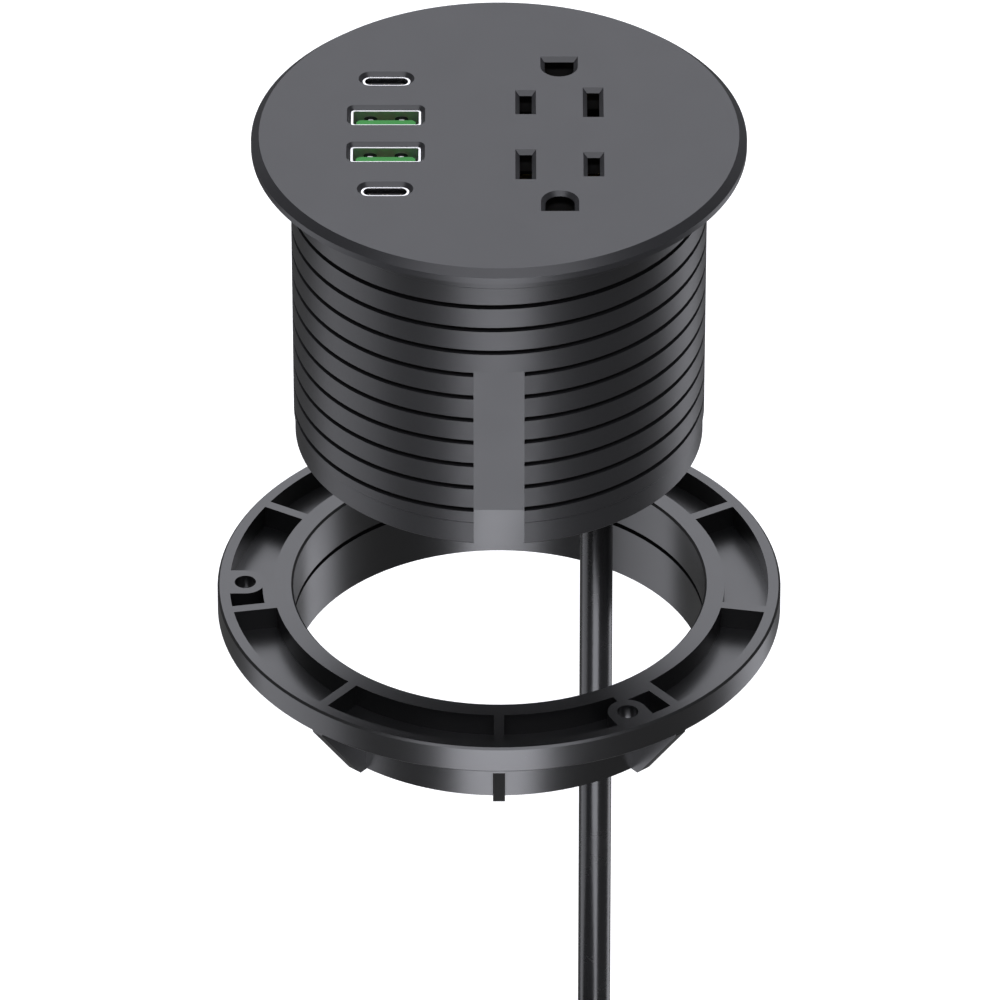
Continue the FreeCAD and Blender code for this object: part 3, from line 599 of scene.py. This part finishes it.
class Bench:
    """Modelling steps that the pieces share."""

    @staticmethod
    def clear() -> None:
        """Leave nothing selected."""
        bpy.ops.object.select_all(action="DESELECT")

    @staticmethod
    def take(name: str) -> bpy.types.Object:
        """Name the newest object and return it.

        Args:
            name: what to call it.

        Returns:
            The object.
        """
        piece = bpy.context.object
        piece.name = name
        piece.data.name = name
        return piece

    @staticmethod
    def use(piece: bpy.types.Object) -> None:
        """Select one piece and make it active.

        Args:
            piece: the piece to work on.
        """
        Bench.clear()
        piece.select_set(True)
        bpy.context.view_layer.objects.active = piece

    @staticmethod
    def block(name: str, low: Sequence[float], high: Sequence[float]) -> bpy.types.Object:
        """A box between two corners, to be shaped further.

        Args:
            name: the box's name.
            low: its lowest corner.
            high: its highest corner.

        Returns:
            The box.
        """
        Bench.clear()
        centre = (Vector(low) + Vector(high)) / 2
        bpy.ops.mesh.primitive_cube_add(size=1.0, location=centre)
        piece = Bench.take(name)
        piece.scale = Vector(high) - Vector(low)
        bpy.ops.object.transform_apply(location=True, rotation=True, scale=True)
        return piece

    @staticmethod
    def pick(piece: bpy.types.Object, wanted: Callable[[bmesh.types.BMFace], bool]) -> None:
        """In edit mode, select the faces that pass a test, and nothing else.

        Args:
            piece: the piece in edit mode.
            wanted: the test.
        """
        mesh = bmesh.from_edit_mesh(piece.data)
        for face in mesh.faces:
            face.select_set(False)
        for face in mesh.faces:
            if wanted(face):
                face.select_set(True)
        bmesh.update_edit_mesh(piece.data)

    @staticmethod
    def modify(piece: bpy.types.Object, kind: str, **settings: object) -> None:
        """Add a modifier, set it and apply it.

        Args:
            piece: the piece to change.
            kind: the modifier's type.
            settings: its settings.
        """
        Bench.use(piece)
        modifier = piece.modifiers.new(kind.title(), kind)
        for key, value in settings.items():
            setattr(modifier, key, value)
        bpy.ops.object.modifier_apply(modifier=modifier.name)

    @staticmethod
    def smooth(piece: bpy.types.Object, degrees: float = 35.0) -> bpy.types.Object:
        """Shade smooth, with sharp edges where faces meet at more than the angle.

        Args:
            piece: the piece to shade.
            degrees: the angle.

        Returns:
            The piece.
        """
        Bench.use(piece)
        bpy.ops.object.shade_smooth_by_angle(angle=math.radians(degrees))
        return piece

    @staticmethod
    def ribbon(name: str, width: float, line: Sequence[Vector], across: Vector,
               closed: bool) -> bpy.types.Object:
        """A flat strip that follows a line, drawn by extruding its leading edge.

        Args:
            name: the piece's name.
            width: the strip's width in metres.
            line: the places that its middle passes through.
            across: the direction of its width.
            closed: whether its end joins its start.

        Returns:
            The strip, with no thickness yet.
        """
        Bench.clear()
        bpy.ops.mesh.primitive_plane_add(size=1.0)
        piece = Bench.take(name)
        side = across.normalized() * width / 2
        corners = (line[0] - side, line[0] + side, line[1] - side, line[1] + side)
        for vertex, place in zip(piece.data.vertices, corners):
            vertex.co = place
        bpy.ops.object.mode_set(mode="EDIT")
        mesh = bmesh.from_edit_mesh(piece.data)
        for element in (*mesh.faces, *mesh.edges, *mesh.verts):
            element.select_set(False)
        mesh.verts.ensure_lookup_table()
        lead = mesh.edges.get((mesh.verts[2], mesh.verts[3]))
        lead.select_set(True)
        bmesh.update_edit_mesh(piece.data)
        bpy.context.tool_settings.mesh_select_mode = (False, True, False)
        for before, after in zip(line[1:], line[2:]):
            bpy.ops.mesh.extrude_edges_move(TRANSFORM_OT_translate={"value": after - before})
        bpy.context.tool_settings.mesh_select_mode = (True, False, False)
        if closed:
            bpy.ops.mesh.select_all(action="SELECT")
            bpy.ops.mesh.remove_doubles(threshold=WELD)
        bpy.ops.mesh.select_all(action="SELECT")
        bpy.ops.mesh.normals_make_consistent(inside=False)
        bpy.ops.object.mode_set(mode="OBJECT")
        return piece

    @staticmethod
    def copies(piece: bpy.types.Object, places: Sequence[Vector]) -> bpy.types.Object:
        """Repeat a piece at several offsets and join the copies into it.

        Args:
            piece: the first one, whose mesh is at the offset zero.
            places: the offset of each one.

        Returns:
            The piece, which now holds them all.
        """
        pattern = piece.data.copy()
        piece.data.transform(Matrix.Translation(places[0]))
        others = []
        for number, place in enumerate(places[1:]):
            mesh = pattern.copy()
            mesh.transform(Matrix.Translation(place))
            other = bpy.data.objects.new(f"{piece.name}_{number}", mesh)
            bpy.context.collection.objects.link(other)
            others.append(other)
        Bench.use(piece)
        for other in others:
            other.select_set(True)
        if others:
            bpy.ops.object.join()
        bpy.data.meshes.remove(pattern)
        return piece


@dataclass
class Housing:
    """The face plate, the threaded barrel and the cover that closes it."""

    def build(self) -> None:
        """Dress the three mouldings and the screws that hold them."""
        Finishes.FACE.value.dress("face_plate")
        Finishes.SHELL.value.dress("barrel", "bottom_cover")
        Finishes.ZINC.value.dress("cover_screws", "face_screws", "board_screws",
                                  "clamp_screws")
        LOG.info("housing dressed")


@dataclass
class Outlets:
    """The insulator and brass strips behind the two mains outlets."""

    def build(self) -> None:
        """Dress the carrier, its cover and the three strips."""
        Finishes.INSULATOR.value.dress("outlet_carrier", "contact_cover", "cord_clamp")
        Finishes.BRASS.value.dress("line_bus", "neutral_bus", "earth_bus")
        LOG.info("outlets dressed")


@dataclass
class ChargingPorts:
    """Two wide and two small charging ports, with their springs and contact pads."""

    shell_wall: float = 0.39 * MM
    spring_x: float = 2.9 * MM
    spring_w: float = 1.15 * MM
    spring_stock: float = 0.14 * MM
    spring_sink: float = 0.17 * MM
    spring_reach: float = 0.45 * MM
    spring_line: tuple[Pair, ...] = ((2.6, 0.02), (1.6, 0.55), (0.9, 0.95), (0.65, 1.0),
                                      (0.5, 0.75), (0.42, 0.2))
    window_w: float = 2.5 * MM
    window_h: float = 1.5 * MM
    window_skin: float = 0.03 * MM
    window_depth: float = 1.1 * MM
    arch: float = 0.45
    pad_x: tuple[float, ...] = (-2.85 * MM, -0.42 * MM, 0.42 * MM, 2.85 * MM)
    pad_w: float = 0.22 * MM
    pad_h: float = 0.2 * MM
    pad_y: Pair = (-0.1 * MM, 0.14 * MM)
    pad_proud: float = 0.05 * MM
    pad_round: float = 0.04 * MM

    def springs(self, place: str) -> None:
        """Two pressed springs on the back wall of a wide port, each in front of an arched black
        sheet of painted shade that stands in for a shaded opening.

        Args:
            place: rear or front, the port's place on the face.
        """
        low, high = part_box(f"usb_a_shell_{place}")
        centre, wall = (low + high) / 2, high.y - self.shell_wall
        top = high.z - self.window_depth
        sites = [Vector((centre.x + side * self.spring_x, 0, 0)) for side in (-1, 1)]
        line = [Vector((0, wall - self.spring_reach * out, top - drop * MM - self.spring_sink))
                for drop, out in self.spring_line]
        spring = Bench.ribbon(f"usb_a_springs_{place}", self.spring_w, line,
                              Vector((1, 0, 0)), False)
        Bench.modify(spring, "SOLIDIFY", thickness=self.spring_stock, offset=0.0)
        Bench.modify(spring, "SUBSURF", levels=2, render_levels=2)
        Bench.copies(Bench.smooth(spring, 60), sites)
        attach(on_piece(spring, Finishes.SHELL_STEEL.value), HOUSING)
        # Painted shade: a thin black sheet on the shell's wall behind each spring, in place of a
        # shaded opening.
        painted_shade_window = Bench.copies(self.painted_shade_window(f"usb_a_windows_{place}", wall, top), sites)
        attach(on_piece(painted_shade_window, Finishes.BLACK_TONGUE.value), HOUSING)

    def painted_shade_window(self, name: str, wall: float, top: float) -> bpy.types.Object:
        """An arched black sheet of painted shade on the wall behind a spring, standing in for a
        shaded opening.

        Args:
            name: the piece's name.
            wall: the Y of the shell's inner face.
            top: the Z of the arch's crown.

        Returns:
            One opening, at X zero.
        """
        radius = self.window_w / 2
        crown = radius * self.arch
        Bench.clear()
        bpy.ops.mesh.primitive_cylinder_add(vertices=32, radius=radius, depth=self.window_skin,
                                            rotation=(math.pi / 2, 0, 0))
        piece = Bench.take(name)
        bpy.ops.object.transform_apply(location=True, rotation=True, scale=True)
        bpy.ops.object.mode_set(mode="EDIT")
        mesh = bmesh.from_edit_mesh(piece.data)
        for vertex in mesh.verts:
            vertex.co.z *= (crown if vertex.co.z > 0 else self.window_h - crown) / radius
            vertex.co += Vector((0, wall - self.window_skin, top - crown))
        bmesh.update_edit_mesh(piece.data)
        bpy.ops.mesh.select_all(action="SELECT")
        bpy.ops.mesh.normals_make_consistent(inside=False)
        bpy.ops.object.mode_set(mode="OBJECT")
        return piece

    def pads(self, place: str) -> None:
        """The contact pads at the end of a small port's tongue.

        Args:
            place: rear or front, the port's place on the face.
        """
        low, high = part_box(f"usb_c_tongue_{place}")
        centre, half, edge = (low + high) / 2, self.pad_w / 2, high.z + self.pad_proud
        pad = Bench.block(f"usb_c_pads_{place}",
                          (-half, centre.y + self.pad_y[0], edge - self.pad_h),
                          (half, centre.y + self.pad_y[1], edge))
        Bench.modify(pad, "BEVEL", width=self.pad_round, segments=2)
        Bench.copies(Bench.smooth(pad), [Vector((centre.x + x, 0, 0)) for x in self.pad_x])
        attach(on_piece(pad, Finishes.PAD.value), HOUSING)

    def build(self) -> None:
        """Dress the shells, tongues and contacts, and add the springs and pads."""
        for place in ("rear", "front"):
            Finishes.SHELL_STEEL.value.dress(f"usb_a_shell_{place}")
            Finishes.SHELL_BRIGHT.value.dress(f"usb_c_shell_{place}")
            Finishes.GREEN_TONGUE.value.dress(f"usb_a_tongue_{place}")
            Finishes.BLACK_TONGUE.value.dress(f"usb_c_tongue_{place}")
            Finishes.GOLD.value.dress(f"usb_a_contacts_{place}")
            self.springs(place)
            self.pads(place)
            LOG.info("%s ports finished", place)


@dataclass
class Charger:
    """The boards and components of the charging circuit, inside the barrel."""

    def build(self) -> None:
        """Dress every board and component."""
        Finishes.BOARD.value.dress("port_board", "main_board")
        Finishes.CHIP.value.dress("board_link", "rectifier", "controller_chips")
        Finishes.FERRITE.value.dress("transformer_core")
        Finishes.TAPE.value.dress("transformer_winding")
        Finishes.CAN.value.dress("smoothing_capacitors")
        Finishes.BOX_CAPACITOR.value.dress("filter_capacitor")
        Finishes.COPPER.value.dress("choke")
        Finishes.CERAMIC.value.dress("fuse")
        Finishes.WIRE_BLACK.value.dress("line_wire")
        Finishes.WIRE_WHITE.value.dress("neutral_wire")
        Finishes.WIRE_GREEN.value.dress("earth_wire")
        LOG.info("charger dressed")


@dataclass
class ClampRing:
    """The ring that is screwed up the barrel against the desk's underside."""

    def build(self) -> None:
        """Dress the ring."""
        Finishes.CLAMP.value.dress("clamp_ring")
        LOG.info("clamp ring dressed")


@dataclass
class MainsLead:
    """The lead: out of the cover, straight down, round a tied coil and up to its plug."""

    diameter: float = 6.3 * MM
    length: float = 1.8
    hang_x: float = 18.65 * MM
    # Y and Z of the drop's points, in millimetres.
    drop: tuple[Pair, ...] = ((0, -47.5), (0, -194), (0, -214), (-10, -231.32),
                               (-27.32, -241.32), (-47.32, -241.32))
    # The coil's largest and smallest radius, in millimetres, and its turns on each layer.
    outer: float = 44.1
    inner: float = 25.2
    lower_turns: int = 4
    upper_turns: int = 3
    turn_points: int = 16
    # The turn from which the lower layer keeps its radius, and the one from which it climbs.
    last_drift: float = 3.0
    climb_turn: float = 3.4
    # Radius, angle and lift of the tail's points over the coil, in millimetres and degrees.
    over: Sites = ((44.1, -8, 6.3), (43.6, -34, 7.7), (41.2, -60, 12.9), (38.2, -85, 17.95),
                   (35.8, -108, 20.95), (35.0, -128, 20.95))
    tie_angle: float = 60.0
    tie_w: float = 12 * MM
    tie_t: float = 0.8 * MM
    tie_corner: float = 3 * MM
    tie_play: float = 0.1 * MM
    tie_inner_play: float = 0.9 * MM
    tie_top_play: float = 0.2 * MM
    tie_round: float = 0.2 * MM
    flap_sink: float = 0.4 * MM
    flap_share: float = 0.96
    corner_step: float = 15.0

    @property
    def centre(self) -> Vector:
        """The middle of the coil, at the height where its lowest turns lie."""
        y, z = self.drop[-1]
        return Vector((self.hang_x - self.outer * MM, y * MM, z * MM))

    def hang(self) -> list[Vector]:
        """The straight drop and the wide bend that lays the lead down."""
        return [Vector((self.hang_x, y * MM, z * MM)) for y, z in self.drop]

    def on_coil(self, radius: float, angle: float, lift: float) -> Vector:
        """A place over the coil, from millimetres and degrees.

        Args:
            radius: from the coil's middle.
            angle: from +X.
            lift: above the lowest turns.

        Returns:
            The place, in metres.
        """
        turn = math.radians(angle)
        spot = Vector((math.cos(turn) * radius, math.sin(turn) * radius, lift))
        return self.centre + spot * MM

    def coil(self) -> list[Vector]:
        """Turns spiralling in on the surface, then fewer spiralling out on top of them.

        Returns:
            The turns' control points.
        """
        step, points = self.diameter / MM, []
        climb = self.lower_turns - self.climb_turn
        for count in range(1, self.lower_turns * self.turn_points + 1):
            turned = count / self.turn_points
            radius = self.outer - min(turned, self.last_drift) * step
            lift = min(1.0, max(0.0, turned - self.climb_turn) / climb) * step
            points.append(self.on_coil(radius, -360.0 * turned, lift))
        for count in range(1, self.upper_turns * self.turn_points + 1):
            turned = count / self.turn_points
            points.append(self.on_coil(self.inner + turned * step, -360.0 * turned, step))
        return points[:-1]

    def tail(self) -> list[Vector]:
        """From the top of the coil, over it, to the plug's neck."""
        return [self.on_coil(*site) for site in self.over]

    def curve(self) -> bpy.types.Object:
        """The whole lead as one smooth spline with a round section.

        Returns:
            The curve, with no finish yet.
        """
        route = self.hang() + self.coil() + self.tail()
        data = bpy.data.curves.new("mains_lead", "CURVE")
        data.dimensions = "3D"
        spline = data.splines.new("NURBS")
        spline.points.add(len(route) - 1)
        for point, place in zip(spline.points, route):
            point.co = (*place, 1.0)
        spline.order_u = 3
        spline.use_endpoint_u = True
        spline.resolution_u = 6
        data.bevel_depth = self.diameter / 2
        data.bevel_resolution = 6
        data.use_fill_caps = True
        lead = bpy.data.objects.new("mains_lead", data)
        bpy.context.collection.objects.link(lead)
        return lead

    def tie(self) -> bpy.types.Object:
        """The strap round the coil: a closed band with its loose end laid over it.

        Returns:
            The strap, with no finish yet.
        """
        low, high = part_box("cord_coil")
        turn = math.radians(self.tie_angle)
        outward = Vector((math.cos(turn), math.sin(turn), 0))
        across = Vector((-outward.y, outward.x, 0))
        middle = Vector(((low.x + high.x) / 2, (low.y + high.y) / 2, 0))
        outer = (high.x - low.x) / 2
        gap, corner = self.tie_t / 2 + self.tie_play, self.tie_corner
        # The band's inner and outer radius from the coil's middle, and its bottom and top.
        r0 = outer - self.lower_turns * self.diameter - gap - self.tie_inner_play
        r1 = outer + gap
        z0, z1 = low.z - self.tie_t / 2, high.z + gap + self.tie_top_play
        loop = []
        for r, z, end in ((r1, z1, 90), (r0, z1, 180), (r0, z0, 270), (r1, z0, 360)):
            cr = r - math.copysign(corner, r - (r0 + r1) / 2)
            cz = z - math.copysign(corner, z - (z0 + z1) / 2)
            for count in range(int(90 / self.corner_step) + 1):
                angle = math.radians(end - 90 + self.corner_step * count)
                up = Vector((0, 0, cz + corner * math.sin(angle)))
                loop.append(middle + outward * (cr + corner * math.cos(angle)) + up)
        strap = Bench.ribbon("coil_strap", self.tie_w, loop + loop[:1], across, True)
        Bench.modify(strap, "SOLIDIFY", thickness=self.tie_t, offset=0.0)
        # The loose end lies over the top of the outer corner, with its tip sunk in the band.
        lap = [place + Vector((0, 0, self.tie_t)) for place in loop[5:8]]
        lap[0].z -= self.flap_sink
        flap = Bench.ribbon("coil_strap_end", self.tie_w * self.flap_share, lap, across, False)
        Bench.modify(flap, "SOLIDIFY", thickness=self.tie_t, offset=0.0)
        Bench.use(strap)
        flap.select_set(True)
        bpy.ops.object.join()
        Bench.modify(strap, "BEVEL", width=self.tie_round, segments=2, limit_method="ANGLE")
        return Bench.smooth(strap, 40)

    def build(self, plug_pieces: Sequence[bpy.types.Object]) -> None:
        """Args:
            plug_pieces: the pieces on the lead's far end; not used.
        """
        lead = on_piece(self.curve(), Finishes.JACKET.value)
        strap = on_piece(self.tie(), Finishes.STRAP.value)
        Finishes.GRIP.value.dress("strain_relief")
        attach(lead, HOUSING)
        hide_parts("power_cord", "cord_coil", "cord_tail")
        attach(strap, HOUSING)
        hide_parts("coil_tie")
        LOG.info("mains lead laid")


@dataclass
class Plug:
    """The moulded three-pin plug at the end of the lead."""

    length: float = 36 * MM
    width: float = 26 * MM
    height: float = 23 * MM
    face_run: float = 7 * MM
    heading: float = -218.0
    # Back from the face: each run in millimetres, and the scale of its far end.
    sections: Sites = ((2.0, 1.0, 1.0), (5.0, 0.93, 0.94), (6.0, 0.8, 0.84),
                       (5.0, 0.76, 0.78), (1.5, 0.8, 0.82))
    grip_round: float = 2.2 * MM
    ridge_count: int = 4
    ridge_x: float = 14 * MM
    ridge_gap: float = 3.1 * MM
    ridge_spread: float = 8.9 * MM
    ridge_flare: float = 0.36
    ridge_t: float = 1.2 * MM
    ridge_round: float = 0.45 * MM
    ridge_share: float = 0.42
    neck: float = 10 * MM
    neck_radius: float = 5.2 * MM
    neck_run: float = 2 * MM
    neck_rings: int = 4
    # One ring of the neck and the groove before it, as in sections, with one scale.
    neck_steps: tuple[Pair, ...] = ((0.01, 0.88), (0.9, 1.0), (0.01, 1.1), (1.3, 0.98))
    neck_round: float = 0.15 * MM

    def place(self, lead: MainsLead) -> Matrix:
        """Where the plug lies, from a frame with its neck at the origin and blades along +X."""
        turn = Matrix.Rotation(math.radians(self.heading), 4, "Z")
        return Matrix.Translation(lead.tail()[-1]) @ turn

    @staticmethod
    def draw_back(piece: bpy.types.Object, run: float, wide: float, tall: float) -> None:
        """In edit mode, extrude the rearmost face and scale its new end.

        Args:
            piece: the piece, whose rear faces -X.
            run: how far to draw it back, in millimetres.
            wide: the new end's scale along Y.
            tall: its scale along Z.
        """
        back = min(vertex.co.x for vertex in bmesh.from_edit_mesh(piece.data).verts) + WELD / 2

        def rearmost(face: bmesh.types.BMFace) -> bool:
            """Whether a face closes the rear."""
            return face.normal.x < -0.99 and face.calc_center_median().x < back

        Bench.pick(piece, rearmost)
        bpy.ops.mesh.extrude_region_move(TRANSFORM_OT_translate={"value": (-run * MM, 0, 0)})
        bpy.ops.transform.resize(value=(1, wide, tall))

    def grip(self) -> bpy.types.Object:
        """The body: a block at the face, drawn back in steps to the neck and rounded.

        Returns:
            The body, with its neck at the origin.
        """
        body = Bench.block("plug_grip",
                           (self.length - self.face_run, -self.width / 2, -self.height / 2),
                           (self.length, self.width / 2, self.height / 2))
        bpy.ops.object.mode_set(mode="EDIT")
        for section in self.sections:
            self.draw_back(body, *section)
        bpy.ops.object.mode_set(mode="OBJECT")
        Bench.modify(body, "BEVEL", width=self.grip_round, segments=3, limit_method="ANGLE",
                     angle_limit=math.radians(50))
        Bench.modify(body, "SUBSURF", levels=2, render_levels=2)
        return Bench.smooth(body, 50)

    def ridges(self) -> bpy.types.Object:
        """Finger ridges across both sides of the grip.

        Returns:
            All the ridges as one piece.
        """
        half = Vector((self.ridge_t, self.ridge_t, self.height * self.ridge_share)) / 2
        ridge = Bench.block("plug_ridges", -half, half)
        Bench.modify(ridge, "BEVEL", width=self.ridge_round, segments=3)
        Bench.smooth(ridge)
        places = []
        for number in range(self.ridge_count):
            back = self.ridge_gap * number
            spread = self.ridge_spread + back * self.ridge_flare
            places += [Vector((self.ridge_x + back, side * spread, 0)) for side in (-1, 1)]
        return Bench.copies(ridge, places)

    def flex(self) -> bpy.types.Object:
        """The tapered neck: rings that shrink towards the lead, on a narrower core.

        Returns:
            The neck, with its front at the body.
        """
        Bench.clear()
        bpy.ops.mesh.primitive_cylinder_add(
            vertices=40, radius=self.neck_radius, depth=self.neck_run,
            location=(self.neck, 0, 0), rotation=(0, math.pi / 2, 0))
        neck = Bench.take("plug_neck")
        bpy.ops.object.transform_apply(location=True, rotation=True, scale=True)
        bpy.ops.object.mode_set(mode="EDIT")
        for run, swell in self.neck_steps * self.neck_rings:
            self.draw_back(neck, run, swell, swell)
        bpy.ops.object.mode_set(mode="OBJECT")
        Bench.modify(neck, "BEVEL", width=self.neck_round, segments=2, limit_method="ANGLE")
        return Bench.smooth(neck, 40)

    def build(self, lead: MainsLead) -> list[bpy.types.Object]:
        """Make the plug where the lead ends.

        Args:
            lead: the lead that it is on.

        Returns:
            Its pieces, new and CAD.
        """
        place = self.place(lead)
        pieces = [self.grip(), self.ridges(), self.flex()]
        for piece in pieces:
            piece.data.transform(place)
            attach(on_piece(piece, Finishes.GRIP.value), HOUSING)
        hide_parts("plug_body")
        Finishes.NICKEL.value.dress("plug_blades", "plug_earth_pin")
        LOG.info("plug made")
        return [*pieces, bpy.data.objects["plug_blades"], bpy.data.objects["plug_earth_pin"]]


@dataclass(frozen=True)
class Softbox:
    """A rectangular studio light that faces the grommet."""

    name: str
    azimuth: float
    elevation: float
    width: float
    height: float
    radiance: float
    distance: float = 1.3
    tint: Colour = (0.97, 0.98, 1.06)

    def hang(self, aim: Vector) -> None:
        """Put the light up.

        Args:
            aim: the place that it faces. Azimuth 0 is the front and 90 the +X side.
        """
        turn, rise = math.radians(self.azimuth), math.radians(self.elevation)
        level = Vector((math.sin(turn), -math.cos(turn), 0)) * math.cos(rise)
        towards = level + Vector((0, 0, math.sin(rise)))
        data = bpy.data.lights.new(self.name, "AREA")
        data.shape = "RECTANGLE"
        data.size, data.size_y = self.width, self.height
        data.energy = self.radiance * math.pi * self.width * self.height
        data.color = self.tint
        light = bpy.data.objects.new(self.name, data)
        light.location = aim + towards * self.distance
        light.rotation_euler = (-towards).to_track_quat("-Z", "Y").to_euler()
        light.visible_camera = False
        bpy.context.collection.objects.link(light)


@dataclass
class Studio:
    """The pale floor, the soft lights and the camera."""

    aim: Point = (0.0, 0.0, -81.56 * MM)
    distance: float = 2.4436
    elevation: float = 35.225
    lens: float = 460.4
    shift: float = 0.001
    sensor: float = 36.0
    sight: float = 50.0
    light_aim: Point = (0.0, 0.0, -60 * MM)
    floor_size: float = 12.0
    paper: Pair = (0.8, 0.83)
    paper_cloud: float = 0.4
    paper_grain: float = 0.01
    paper_relief: float = 0.0001
    paper_glow: float = 0.62
    fill: float = 0.13

    def floor(self) -> None:
        """A large pale sheet under the coil, which the low lights shine through."""
        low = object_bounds()[0].z
        Bench.clear()
        bpy.ops.mesh.primitive_plane_add(size=self.floor_size, location=(0, 0, low))
        floor = Bench.take("studio_floor")
        recipe = Recipe("studio_paper")
        dim, bright = ((tone, tone, tone) for tone in self.paper)
        tone = recipe.mix(dim, bright, recipe.noise(self.paper_cloud))
        recipe.surface(tone, 0.9, recipe.noise(self.paper_grain), self.paper_relief,
                       Emission_Strength=self.paper_glow)
        recipe.shader.inputs["Emission Color"].default_value = WHITE
        floor.data.materials.append(recipe.material)
        for ray in ("visible_shadow", "visible_glossy", "visible_diffuse"):
            setattr(floor, ray, False)
        floor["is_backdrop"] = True

    def lights(self) -> None:
        """One light overhead, one behind for the face, and three low strips for the barrel."""
        for box in (
            Softbox("overhead", 0, 60, 1.2, 0.8, 3.1),
            Softbox("back", 180, 46, 2.1, 1.3, 1.85),
            Softbox("front_strip", -1, -35, 0.74, 0.9, 4.9),
            Softbox("left_strip", -92, -35, 0.95, 0.9, 1.25),
            Softbox("right_strip", 124, -35, 0.6, 0.9, 1.4),
        ):
            box.hang(Vector(self.light_aim))

    def camera(self) -> None:
        """A long lens, high in front."""
        rise = math.radians(self.elevation)
        data = bpy.data.cameras.new("camera")
        data.lens = self.lens
        data.sensor_width = self.sensor
        data.shift_x = self.shift
        data.clip_end = self.sight
        camera = bpy.data.objects.new("camera", data)
        back = Vector((0, -math.cos(rise), math.sin(rise)))
        camera.location = Vector(self.aim) + back * self.distance
        camera.rotation_euler = (math.pi / 2 - rise, 0, 0)
        bpy.context.collection.objects.link(camera)
        bpy.context.scene.camera = camera

    def world(self) -> None:
        """A dim even fill."""
        world = bpy.data.worlds.new("studio")
        world.use_nodes = True
        background = world.node_tree.nodes["Background"]
        background.inputs["Color"].default_value = WHITE
        background.inputs["Strength"].default_value = self.fill
        bpy.context.scene.world = world
        bpy.context.scene.view_settings.view_transform = "Standard"

    def build(self) -> None:
        """Set the whole studio up."""
        self.floor()
        self.lights()
        self.camera()
        self.world()
        LOG.info("studio ready")


def corners(box: tuple[Vector, Vector]) -> list[list[float]]:
    """A box as plain numbers."""
    return [list(corner) for corner in box]


def main() -> None:
    """Load the frame, finish every part of the grommet and light it."""
    logging.basicConfig(level=logging.INFO, format="%(name)s: %(message)s")
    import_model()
    for part in (Housing(), Outlets(), ChargingPorts(), Charger(), ClampRing()):
        part.build()
    lead = MainsLead()
    lead.build(Plug().build(lead))
    Studio().build()


if __name__ == "__main__":
    main()
